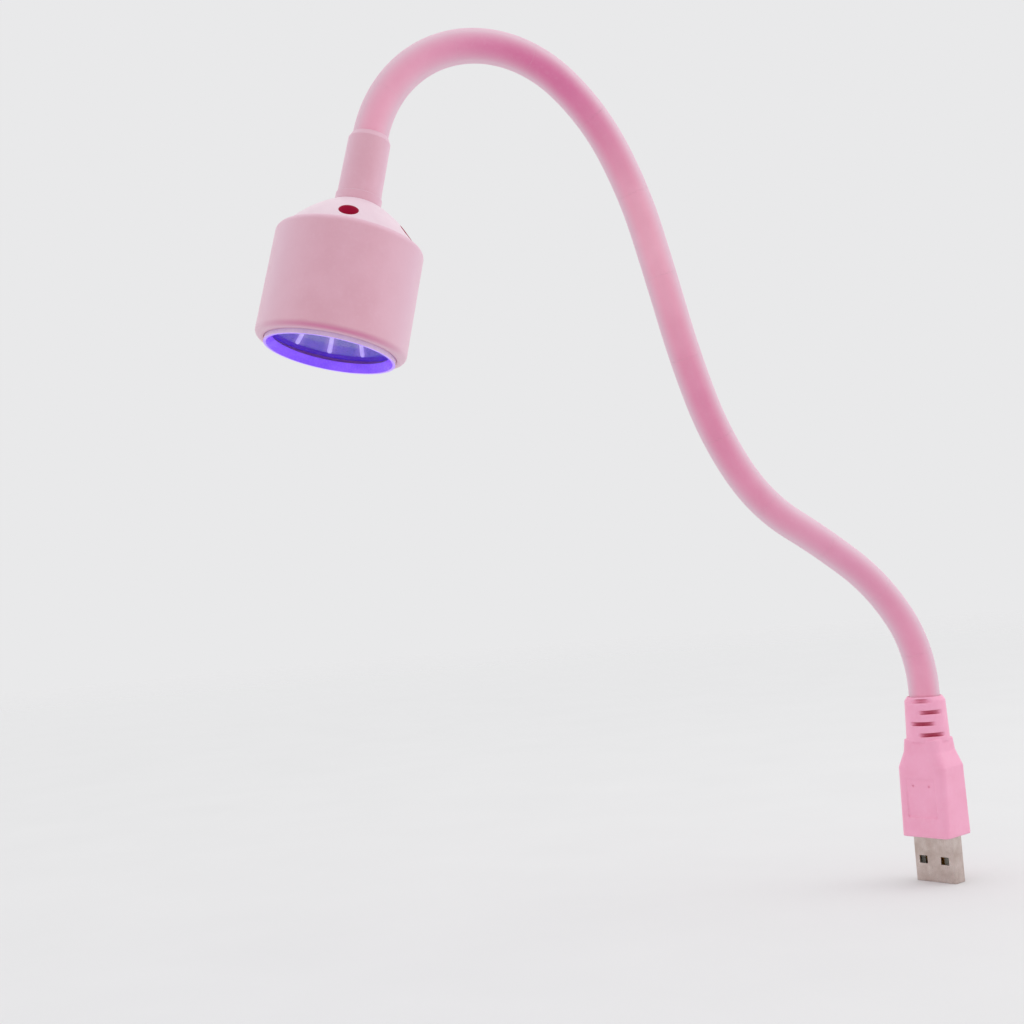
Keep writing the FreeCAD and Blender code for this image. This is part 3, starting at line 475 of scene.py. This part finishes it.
class Nodes:
    """A node material under construction. Each call returns the output socket of a new node."""

    def __init__(self, owner):
        owner.use_nodes = True
        self.tree = owner.node_tree
        self.tree.nodes.clear()

    def add(self, kind, output=0, settings=None, **inputs):
        """A node of this kind. An input's name has _ for each space."""
        node = self.tree.nodes.new("ShaderNode" + kind)
        for key, value in (settings or {}).items():
            setattr(node, key, value)
        for key, value in inputs.items():
            self.put(node, key.replace("_", " "), value)
        return node.outputs[output]

    def put(self, node, key, value):
        """Joins a socket to an input, or sets the input to a value."""
        socket = node.inputs[key]
        if isinstance(value, bpy.types.NodeSocket):
            self.tree.links.new(value, socket)
        else:
            socket.default_value = value

    def mix(self, factor, a, b):
        """Mixes two colours."""
        node = self.tree.nodes.new("ShaderNodeMix")
        node.data_type = "RGBA"
        for key, value in ((0, factor), (6, a), (7, b)):
            self.put(node, key, value)
        return node.outputs[2]

    def math(self, operation, a, b=0.0, c=0.0):
        node = self.tree.nodes.new("ShaderNodeMath")
        node.operation = operation
        for key, value in enumerate((a, b, c)):
            self.put(node, key, value)
        return node.outputs[0]

    def vector(self, operation, a, b=(0, 0, 0)):
        """Vector arithmetic. A dot product gives a number, anything else a vector."""
        node = self.tree.nodes.new("ShaderNodeVectorMath")
        node.operation = operation
        self.put(node, 0, a)
        self.put(node, 1, b)
        return node.outputs["Value" if operation in ("DOT_PRODUCT", "DISTANCE") else "Vector"]

    def blended(self, factor, a, b):
        """Mixes two shaders."""
        node = self.tree.nodes.new("ShaderNodeMixShader")
        for key, value in enumerate((factor, a, b)):
            self.put(node, key, value)
        return node.outputs[0]

    def span(self, value, low, high, start=0.0, end=1.0):
        """Maps low..high to start..end, clamped."""
        return self.add(
            "MapRange",
            Value=value,
            From_Min=low,
            From_Max=high,
            To_Min=start,
            To_Max=end,
        )

    def place(self, rest):
        """Where the point is on the piece at rest."""
        if rest:
            return self.add("Attribute", "Vector", {"attribute_name": "rest"})
        return self.add("TexCoord", "Object")

    def noise(self, where, size, detail=2.0, rough=0.5):
        """Noise with features about this size, in metres."""
        return self.add(
            "TexNoise", "Fac", Vector=where, Scale=1 / size, Detail=detail, Roughness=rough
        )

    def finish(self, shader, kind="Material"):
        """Makes this shader the material's surface, or the world."""
        out = self.tree.nodes.new("ShaderNodeOutput" + kind)
        self.tree.links.new(shader, out.inputs[0])


GRAIN_DEPTH = 0.012 * MM  # on moulded plastic
SCRATCH_DEPTH = 0.01 * MM  # on metal and on clear plastic
METAL_EDGE = 0.08 * MM
EDGE = {"samples": 6}
SKY = {"samples": 8, "only_local": False}


def moulded(
    name,
    colour,
    deep,
    pale,
    rough=0.5,
    grain=0.12 * MM,
    mottle=6 * MM,
    pale_edge_width=0.15 * MM,
    sheen=0.0,
    painted_crevice_shade=None,
    rest=False,
    glow=None,
    rim=None,
    speckle=0.1,
    painted_light_area=None,
    painted_glow=0.0,
    wear_and_highlight=0.55,
):
    """Moulded plastic or rubber: clouded colour, fine grain, paler edges from wear and, where
    strong, a painted highlight, and painted shade in crevices.

    rim is a painted sheen: a paler colour towards the silhouette, with the facing values
    between which it takes over. area paints light or shade on one part of the piece: it takes
    the nodes and the place and gives a factor and a colour. warm is a painted glow in crevices
    and in that part, emission standing in for light that comes through the plastic. crevice
    paints shade into crevices: a colour, how far apart the walls may be, and the most that the
    colour takes over."""
    material = bpy.data.materials.new(name)
    nodes = Nodes(material)
    where = nodes.place(rest)
    cloud = nodes.noise(where, mottle, 3.0)
    speck = nodes.noise(where, grain * 6, 2.0)
    body = nodes.mix(nodes.span(cloud, 0.35, 0.65), deep, colour)
    body = nodes.mix(nodes.span(speck, 0.5, 0.8, 0.0, speckle), body, pale)
    light, strength = glow or (pale, 0.0)
    # Painted light or shade on one part of the piece, with a painted glow there.
    if painted_light_area:
        factor, tint = painted_light_area(nodes, where)
        body = nodes.mix(factor, body, tint)
        light = nodes.mix(factor, light, tint)
        strength = nodes.math("MULTIPLY_ADD", factor, painted_glow, strength)
    # Painted sheen: paler towards the silhouette.
    if rim:
        painted_sheen_colour, low, high = rim
        facing = nodes.add("LayerWeight", "Facing", Blend=0.5)
        body = nodes.mix(nodes.span(facing, low, high), body, painted_sheen_colour)
    smoothed = nodes.add("Bevel", settings=EDGE, Radius=pale_edge_width)
    flat = nodes.add("NewGeometry", "Normal")
    # Paler edges: wear and, where strong as on the plug, a painted highlight.
    edge = nodes.span(nodes.vector("DOT_PRODUCT", smoothed, flat), 0.995, 0.85)
    edge_patches = nodes.span(nodes.noise(where, 1.2 * MM, 4.0), 0.35, 0.7)
    rubbed_and_highlit = nodes.math("MULTIPLY", edge, nodes.math("MULTIPLY", edge_patches, wear_and_highlight))
    body = nodes.mix(rubbed_and_highlit, body, pale)
    # Painted shade in crevices, found by ambient occlusion, with a painted glow there.
    if painted_crevice_shade:
        shade_colour, reach, most = painted_crevice_shade
        open_sky = nodes.add("AmbientOcclusion", "AO", SKY, Distance=reach)
        painted_shade = nodes.span(open_sky, 0.8, 0.45, 0.0, most)
        body = nodes.mix(painted_shade, body, shade_colour)
        light = nodes.mix(painted_shade, light, shade_colour)
        strength = nodes.math("MULTIPLY_ADD", painted_shade, painted_glow, strength)
    patch = nodes.noise(where, 2.5 * MM, 4.0, 0.6)
    roughness = nodes.span(patch, 0.3, 0.7, rough - 0.07, rough + 0.08)
    fine = nodes.noise(where, grain, 2.0, 0.6)
    wavy = nodes.noise(where, 1.6 * MM, 1.0)
    height = nodes.math("ADD", fine, nodes.math("MULTIPLY", wavy, 1.5))
    relief = nodes.add("Bump", Strength=0.6, Distance=GRAIN_DEPTH, Height=height, Normal=smoothed)
    inputs = dict(Base_Color=body, Roughness=roughness, Normal=relief, IOR=1.48)
    if sheen:
        inputs.update(Sheen_Weight=sheen, Sheen_Roughness=0.45, Sheen_Tint=pale)
    # Emission: the emitter's own light, or a painted glow on parts that are no lamp.
    if glow or painted_glow:
        inputs.update(Emission_Color=light, Emission_Strength=strength)
    nodes.finish(nodes.add("BsdfPrincipled", **inputs))
    return material


# The colour of painted shade, and of painted glow, in crevices, slots and vent holes.
PAINTED_SHADE_CRIMSON = tone(150, 20, 56)
VIOLET = tone(130, 80, 236)
DOME_OUTWARD, DOME_MOUTHWARD = 0.67, -0.74  # which way the dome's outside faces


def painted_highlight_stretches(nodes, where):
    """Painted highlight: the sleeve is painted paler along the stretches of the neck where the
    light falls on it.
    """
    cloud = nodes.span(nodes.noise(where, 9 * MM, 3.0), 0.35, 0.65)
    pale = nodes.mix(cloud, tone(248, 174, 198), tone(252, 182, 205))
    return nodes.add("Attribute", "Fac", {"attribute_name": "pallor"}), pale


def head_facing(nodes, where):
    """How far the surface faces away from the head's axis, and how far towards its mouth.

    Both are cosines. The cross product is taken twice to point straight away from the axis."""
    normal = nodes.add(
        "VectorTransform",
        settings={"vector_type": "NORMAL", "convert_from": "WORLD", "convert_to": "OBJECT"},
        Vector=nodes.add("NewGeometry", "Normal"),
    )
    mouthward = tuple(heading_vector(HEAD_LEAN))
    spoke = nodes.vector("SUBTRACT", where, tuple(NECK_END))
    beside = nodes.vector("CROSS_PRODUCT", spoke, mouthward)
    spoke = nodes.vector("NORMALIZE", nodes.vector("CROSS_PRODUCT", mouthward, beside))
    outward = nodes.vector("DOT_PRODUCT", spoke, normal)
    return outward, nodes.vector("DOT_PRODUCT", mouthward, normal)


def painted_shade_under_dome(nodes, where):
    """Painted shade: crimson on everything on the cap but the dome's outside: the vent holes'
    walls and the inside.
    """
    outward, mouthward = head_facing(nodes, where)
    sideways = nodes.math("MULTIPLY", outward, DOME_OUTWARD)
    dome = nodes.math("MULTIPLY_ADD", mouthward, DOME_MOUTHWARD, sideways)
    return nodes.span(dome, 0.85, 0.55), PAINTED_SHADE_CRIMSON


def painted_shade_on_lip(nodes, where):
    """Painted shade: a deeper pink on the can's rim, where the surface turns towards the mouth."""
    _, mouthward = head_facing(nodes, where)
    return nodes.span(mouthward, 0.1, 0.7, 0.0, 0.9), tone(214, 118, 164)


def metal(name, colour, dark, rough, brush, glow):
    """Metal with drawn streaks and cloudy tarnish. glow is coloured light on it."""
    material = bpy.data.materials.new(name)
    nodes = Nodes(material)
    where = nodes.place(False)
    drawn = nodes.add("Mapping", Vector=where, Scale=brush)
    streak = nodes.noise(drawn, 0.15 * MM, 3.0, 0.7)
    cloud = nodes.noise(where, 3 * MM, 3.0)
    body = nodes.mix(nodes.span(cloud, 0.35, 0.7), colour, dark)
    body = nodes.mix(nodes.span(streak, 0.4, 0.7, 0.0, 0.35), body, dark)
    smoothed = nodes.add("Bevel", settings=EDGE, Radius=METAL_EDGE)
    roughness = nodes.span(streak, 0.3, 0.7, rough - 0.08, rough + 0.12)
    relief = nodes.add(
        "Bump", Strength=0.35, Distance=SCRATCH_DEPTH, Height=streak, Normal=smoothed
    )
    inputs = dict(Base_Color=body, Metallic=1.0, Roughness=roughness, Normal=relief)
    if glow:
        inputs.update(Emission_Color=glow[0], Emission_Strength=glow[1])
    nodes.finish(nodes.add("BsdfPrincipled", **inputs))
    return material


def clear(name, tint):
    """Thin clear plastic: see-through, with a weak reflection, and dust in patches."""
    material = bpy.data.materials.new(name)
    nodes = Nodes(material)
    where = nodes.place(False)
    dust = nodes.noise(where, 0.4 * MM, 4.0, 0.7)
    wave = nodes.noise(where, 4 * MM, 1.0)
    relief = nodes.add("Bump", Strength=0.2, Distance=SCRATCH_DEPTH, Height=wave)
    through = nodes.add("BsdfTransparent", Color=tint)
    roughness = nodes.span(dust, 0.3, 0.8, 0.04, 0.2)
    shine = nodes.add("BsdfGlossy", Roughness=roughness, Normal=relief)
    grazing = nodes.add("Fresnel", IOR=1.49, Normal=relief)
    film = nodes.blended(nodes.span(grazing, 0.03, 1.0, 0.02, 0.2), through, shine)
    haze = nodes.add("BsdfDiffuse", Color=tone(214, 200, 245))
    nodes.finish(nodes.blended(nodes.span(dust, 0.62, 0.9, 0.0, 0.06), film, haze))
    return material


def mirror_facets(name):
    """Metallised facets with painted light from the violet emitter: a painted glow, and a painted
    reflection, blue in the middle and paler towards the ribs.
    """
    material = bpy.data.materials.new(name)
    nodes = Nodes(material)
    where = nodes.place(False)
    spoke = nodes.vector("SUBTRACT", where, tuple(NECK_END))
    across, beside = (tuple(HEAD.to_3x3().col[k]) for k in (0, 1))
    angle = nodes.math(
        "ARCTAN2",
        nodes.vector("DOT_PRODUCT", spoke, beside),
        nodes.vector("DOT_PRODUCT", spoke, across),
    )
    turns = nodes.math("FRACT", nodes.math("MULTIPLY", angle, RIBS / (2 * math.pi)))
    off_middle = nodes.math("ABSOLUTE", nodes.math("MULTIPLY_ADD", turns, 2.0, -1.0))
    middle = nodes.math("SUBTRACT", 1.0, off_middle)
    cloud = nodes.noise(where, 2.5 * MM, 2.0)
    blue = nodes.mix(nodes.span(cloud, 0.35, 0.65), tone(82, 78, 168), tone(100, 80, 176))
    pale = nodes.mix(nodes.span(cloud, 0.35, 0.65), tone(142, 120, 192), tone(132, 108, 186))
    # Painted reflection: blue in each facet's middle, paler towards its ribs.
    body = nodes.mix(nodes.span(middle, 0.1, 0.5), pale, blue)
    haze = nodes.noise(where, 0.5 * MM, 3.0)
    shader = nodes.add(
        "BsdfPrincipled",
        Base_Color=body,
        Metallic=0.35,
        Roughness=nodes.span(haze, 0.3, 0.7, 0.24, 0.4),
        Normal=nodes.add("Bump", Strength=0.15, Distance=SCRATCH_DEPTH, Height=haze),
        Emission_Color=body,
        Emission_Strength=0.46,
    )
    nodes.finish(shader)
    return material


def light_ring(name):
    """Violet acrylic with painted light: a saturated violet glow on its bore, paler on the walls
    that face outwards.
    """
    material = bpy.data.materials.new(name)
    nodes = Nodes(material)
    where = nodes.place(False)
    outward, mouthward = head_facing(nodes, where)
    wall = nodes.span(outward, 0.5, 0.9)
    cloud = nodes.noise(where, 3 * MM, 3.0)
    scratch = nodes.noise(where, 0.3 * MM, 4.0, 0.7)
    lit = nodes.mix(nodes.span(cloud, 0.35, 0.7), VIOLET, tone(116, 66, 226))
    face = nodes.mix(nodes.span(cloud, 0.35, 0.7), tone(168, 128, 236), tone(152, 112, 230))
    outer = nodes.mix(nodes.span(cloud, 0.35, 0.7), tone(222, 196, 230), tone(212, 184, 226))
    # Painted light: the colour and the glow follow which way the surface faces.
    body = nodes.mix(nodes.span(mouthward, 0.8, 0.97), lit, face)
    body = nodes.mix(wall, body, outer)
    body = nodes.mix(nodes.span(scratch, 0.6, 0.85, 0.0, 0.2), body, tone(236, 226, 250))
    relief = nodes.add("Bump", Strength=0.3, Distance=SCRATCH_DEPTH, Height=scratch)
    shader = nodes.add(
        "BsdfPrincipled",
        Base_Color=body,
        Roughness=nodes.span(scratch, 0.3, 0.8, 0.2, 0.38),
        Normal=relief,
        Emission_Color=body,
        Emission_Strength=nodes.span(wall, 0.0, 1.0, 0.5, 0.08),
    )
    nodes.finish(shader)
    return material


# Moulded plastic and rubber: the colour, its deeper clouds, its paler edges (wear, and on the plug
# a painted highlight), and the rest.
MOULDED = {
    # The sleeve: a painted highlight along the neck, and a painted sheen towards the silhouette.
    "pink_sleeve": (
        (229, 125, 172), (225, 118, 166), (240, 200, 216),
        dict(
            rough=0.42, sheen=0.25, rest=True, mottle=9 * MM,
            rim=(tone(230, 190, 208), 0.06, 0.5), painted_light_area=painted_highlight_stretches,
        ),
    ),
    # The plug: a painted highlight on its edges, painted shade with a painted glow in its slots,
    # and a faint painted glow all over.
    "pink_pvc": (
        (244, 172, 202), (240, 165, 195), (252, 218, 230),
        dict(
            rough=0.46, sheen=0.2, grain=0.2 * MM, pale_edge_width=0.5 * MM, wear_and_highlight=0.9,
            painted_crevice_shade=(PAINTED_SHADE_CRIMSON, 1.6 * MM, 1.0), glow=(tone(240, 130, 170), 0.07), painted_glow=0.3,
        ),
    ),
    # The can: painted shade on its lip and in crevices, and a painted sheen towards the
    # silhouette.
    "pink_abs": (
        (232, 178, 196), (228, 172, 190), (244, 214, 226),
        dict(
            rough=0.4, sheen=0.15, pale_edge_width=0.25 * MM, painted_crevice_shade=(PAINTED_SHADE_CRIMSON, 1.0 * MM, 0.35),
            rim=(tone(231, 190, 208), 0.1, 0.6), painted_light_area=painted_shade_on_lip,
        ),
    ),
    # The dome cap: painted shade and a painted glow in its vent holes and inside.
    "pale_abs": (
        (240, 216, 228), (236, 210, 223), (248, 232, 240),
        dict(rough=0.4, sheen=0.15, pale_edge_width=0.25 * MM, painted_light_area=painted_shade_under_dome, painted_glow=0.45),
    ),
    "tongue_plastic": ((236, 234, 226), (226, 223, 212), (250, 250, 246), dict()),
    "inner_plastic": ((214, 210, 196), (200, 195, 180), (238, 236, 226), dict()),
    "pad_grey": ((140, 146, 156), (124, 130, 142), (176, 182, 192), dict(rough=0.7)),
    "board_white": ((232, 234, 232), (218, 222, 220), (250, 250, 250), dict(rough=0.35)),
    "chip_ceramic": ((238, 232, 214), (222, 214, 192), (250, 248, 240), dict(rough=0.4)),
    "clear_silicone": (
        (170, 140, 250), (140, 110, 245), (220, 210, 255),
        dict(rough=0.15, glow=(tone(150, 110, 255), 6.0)),
    ),
    "resistor_black": ((44, 44, 48), (30, 30, 34), (96, 96, 100), dict(rough=0.4)),
    # Painted light: the gasket's violet colour and glow stand in for the emitter's light on it.
    "gasket_rubber": (
        (96, 60, 190), (80, 48, 170), (140, 110, 220),
        dict(rough=0.6, glow=(tone(84, 44, 190), 0.4)),
    ),
    "wire_red": ((196, 36, 40), (176, 26, 30), (226, 96, 96), dict(rest=True)),
    "wire_black": ((34, 34, 38), (24, 24, 28), (86, 86, 92), dict(rest=True)),
    # Painted glow: the ribs glow with the emitter's light.
    "rib_frost": (
        (214, 202, 242), (196, 180, 236), (240, 234, 252),
        dict(rough=0.3, glow=(tone(206, 192, 242), 0.55)),
    ),
}

# Metal: the colour, its tarnish, the roughness, the stretch of the drawn streaks, and a glow.
METAL = {
    "shell_steel": ((214, 200, 194), (188, 170, 162), 0.3, (1, 1, 0.06), None),
    "contact_gold": ((226, 178, 92), (180, 132, 60), 0.22, (1, 1, 0.1), None),
    "ferrule_steel": ((190, 190, 194), (140, 140, 146), 0.3, (1, 1, 0.1), None),
    "nut_steel": ((200, 198, 192), (150, 146, 138), 0.24, (0.2, 1, 1), None),
    # Painted light: the pink tint and the crimson glow stand in for light coming through the pink
    # shell.
    "sink_aluminium": (
        (190, 120, 140), (160, 84, 108), 0.35, (0.1, 1, 1), (tone(160, 20, 60), 0.5),
    ),
    "core_steel": ((176, 178, 184), (128, 130, 138), 0.32, (1, 0.1, 1), None),
}

finishes = {
    "mirror_coat": mirror_facets("mirror_coat"),
    "clear_lens": clear("clear_lens", (0.96, 0.94, 1.0, 1.0)),
    "violet_acrylic": light_ring("violet_acrylic"),
}
for slot, (colour, deep, pale, rest_of_it) in MOULDED.items():
    finishes[slot] = moulded(slot, tone(*colour), tone(*deep), tone(*pale), **rest_of_it)
for slot, (colour, dark, rough, brush, glow) in METAL.items():
    finishes[slot] = metal(slot, tone(*colour), tone(*dark), rough, brush, glow)


def paint(thing, slot):
    """Gives a piece one finish throughout."""
    material = finishes[slot]
    if not thing.material_slots:
        thing.data.materials.append(material)
    for place in thing.material_slots:
        place.material = material


slot_of = {}
for entry in frame["record"]["materials"]:
    for node in entry.get("nodes", []):
        slot_of[node] = entry["slot"]
for part in frame["record"]["subparts"]:
    if part.get("material_slot"):
        slot_of[part["node"]] = part["material_slot"]
for node, thing in frame["nodes"].items():
    paint(thing, slot_of[node])
for thing in skin_pieces:
    paint(thing, "pink_sleeve")
for node, run in wire_pieces.items():
    for thing in run:
        paint(thing, node)
paint(overmould, "pink_pvc")
ribs.data.materials.append(finishes["rib_frost"])

# ---------------------------------------------------------------- studio

AZIMUTH, PITCH, ROLL = (math.radians(angle) for angle in (-27.87, -2.37, -4.59))
REACH = 339.82 * MM
TARGET = Vector((-117.28, 0, 90.29)) * MM
FOCAL = 52.73

CLIP_START, CLIP_END = 0.01, 20.0
BACKDROP = tone(233, 233, 234)
MIDDLE = (CAD_BOX[0] + CAD_BOX[1]) / 2

# The world's light: everywhere, less from behind the camera, more from the right and above.
LIGHT_ALL, LIGHT_BEHIND, LIGHT_RIGHT, LIGHT_ABOVE = 0.86, -0.38, 0.16, 0.22

FLOOR_GAP = 0.05 * MM
FLOOR_RADIUS, FLOOR_SIDES = 3.0, 64
FADE = (0.35, 1.5)  # the floor turns into the backdrop between these distances

KEY_SIZE, KEY_POWER, KEY_COLOUR = 0.5, 0.55, (1.0, 0.98, 0.97)


def build_camera():
    """The camera, and the directions back towards it, to its right and up."""
    back = Vector(
        (
            math.sin(AZIMUTH) * math.cos(PITCH),
            -math.cos(AZIMUTH) * math.cos(PITCH),
            math.sin(PITCH),
        )
    )
    level = Vector((math.cos(AZIMUTH), math.sin(AZIMUTH), 0))
    upright = back.cross(level)
    right = level * math.cos(ROLL) + upright * math.sin(ROLL)
    up = upright * math.cos(ROLL) - level * math.sin(ROLL)
    data = bpy.data.cameras.new("camera")
    data.lens = FOCAL
    data.clip_start, data.clip_end = CLIP_START, CLIP_END
    camera = bpy.data.objects.new("camera", data)
    bpy.context.scene.collection.objects.link(camera)
    turned = Matrix((right, up, back)).transposed().to_4x4()
    camera.matrix_world = Matrix.Translation(TARGET + back * REACH) @ turned
    bpy.context.scene.camera = camera
    return back, right, up


def build_world(back, right):
    """Even light from all round, and a plain backdrop behind it for the camera."""
    world = bpy.data.worlds.new("studio")
    bpy.context.scene.world = world
    nodes = Nodes(world)
    direction = nodes.add("TexCoord", "Generated")

    def facing(way):
        return nodes.math("MAXIMUM", nodes.vector("DOT_PRODUCT", direction, tuple(way)), 0.0)

    behind = nodes.math("POWER", facing(back), 2.0)
    glow = nodes.math("MULTIPLY_ADD", behind, LIGHT_BEHIND, LIGHT_ALL)
    glow = nodes.math("MULTIPLY_ADD", facing(right), LIGHT_RIGHT, glow)
    glow = nodes.math("MULTIPLY_ADD", facing((0, 0, 1)), LIGHT_ABOVE, glow)
    lighting = nodes.add("Background", Color=(1, 1, 1, 1), Strength=glow)
    seen = nodes.add("Background", Color=BACKDROP, Strength=1.0)
    shown = nodes.blended(nodes.add("LightPath", "Is Camera Ray"), lighting, seen)
    nodes.finish(shown, "World")


def build_floor():
    """A pale disc that fades into the backdrop far from the lamp."""
    low = CAD_BOX[0].z - FLOOR_GAP
    rim = []
    for k in range(FLOOR_SIDES):
        angle = 2 * math.pi * k / FLOOR_SIDES
        across, ahead = FLOOR_RADIUS * math.cos(angle), FLOOR_RADIUS * math.sin(angle)
        rim.append((MIDDLE.x + across, MIDDLE.y + ahead, low))
    floor = piece("floor", mesh_from("floor", rim, [list(range(FLOOR_SIDES))]))
    material = bpy.data.materials.new("floor_paper")
    nodes = Nodes(material)
    where = nodes.add("TexCoord", "Object")
    away = nodes.vector("DISTANCE", where, (MIDDLE.x, MIDDLE.y, low))
    fade = nodes.span(away, *FADE)
    cloud = nodes.noise(where, 40 * MM, 3.0)
    colour = nodes.mix(cloud, tone(227, 227, 228), tone(231, 231, 232))
    paper = nodes.add("BsdfDiffuse", Color=colour)
    nodes.finish(nodes.blended(fade, paper, nodes.add("BsdfTransparent")))
    floor.data.materials.append(material)


def build_key(position):
    """A round softbox this far from the middle of the lamp, turned towards it."""
    data = bpy.data.lights.new("key", "AREA")
    data.shape = "DISK"
    data.size = KEY_SIZE
    data.energy = KEY_POWER
    data.color = KEY_COLOUR
    light = bpy.data.objects.new("key", data)
    bpy.context.scene.collection.objects.link(light)
    light.location = MIDDLE + position
    light.rotation_mode = "QUATERNION"
    light.rotation_quaternion = position.to_track_quat("Z", "Y")


back, right, up = build_camera()
build_world(back, right)
build_floor()
build_key(right * 0.55 + up * 0.55 - back * 0.05)
bpy.context.scene.view_settings.view_transform = "Standard"
